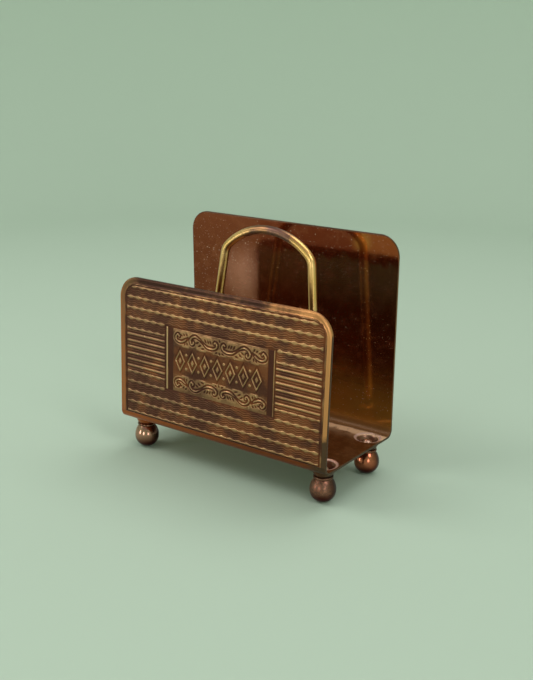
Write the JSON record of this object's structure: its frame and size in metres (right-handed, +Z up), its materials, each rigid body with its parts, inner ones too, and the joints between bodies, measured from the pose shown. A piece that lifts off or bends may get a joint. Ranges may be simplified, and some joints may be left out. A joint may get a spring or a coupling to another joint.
{
  "type": "letter holder",
  "caption": "Aged brass letter holder: a bent sheet with a low embossed front and a tall plain back, a fixed arched wire handle that divides it into letter slots, and turned ball feet.",
  "frame": {"origin": "on the table, under the middle of the sheet, midway between the four feet", "axes": "+X along the plates to the right as seen from the front, +Y from the embossed front plate to the back plate, +Z up"},
  "size_m": [0.127, 0.0643, 0.1225],
  "materials": {
    "sheet_brass": "aged embossed brass, dark in the hollows, polished on the ridges and inside the back plate",
    "handle_brass": "worn bright brass wire with darker patches",
    "foot_brass": "polished brown bronze-toned brass"
  },
  "bodies": {
    "root": {"letter_sheet": "sheet_brass", "wire_handle": "handle_brass", "handle_collar_left": "handle_brass", "handle_collar_right": "handle_brass", "handle_washer_left": "handle_brass", "handle_washer_right": "handle_brass", "foot_front_left": "foot_brass", "foot_front_right": "foot_brass", "foot_back_left": "foot_brass", "foot_back_right": "foot_brass", "foot_washer_front_left": "foot_brass", "foot_washer_front_right": "foot_brass", "foot_washer_back_left": "foot_brass", "foot_washer_back_right": "foot_brass"}
  },
  "joints": []
}
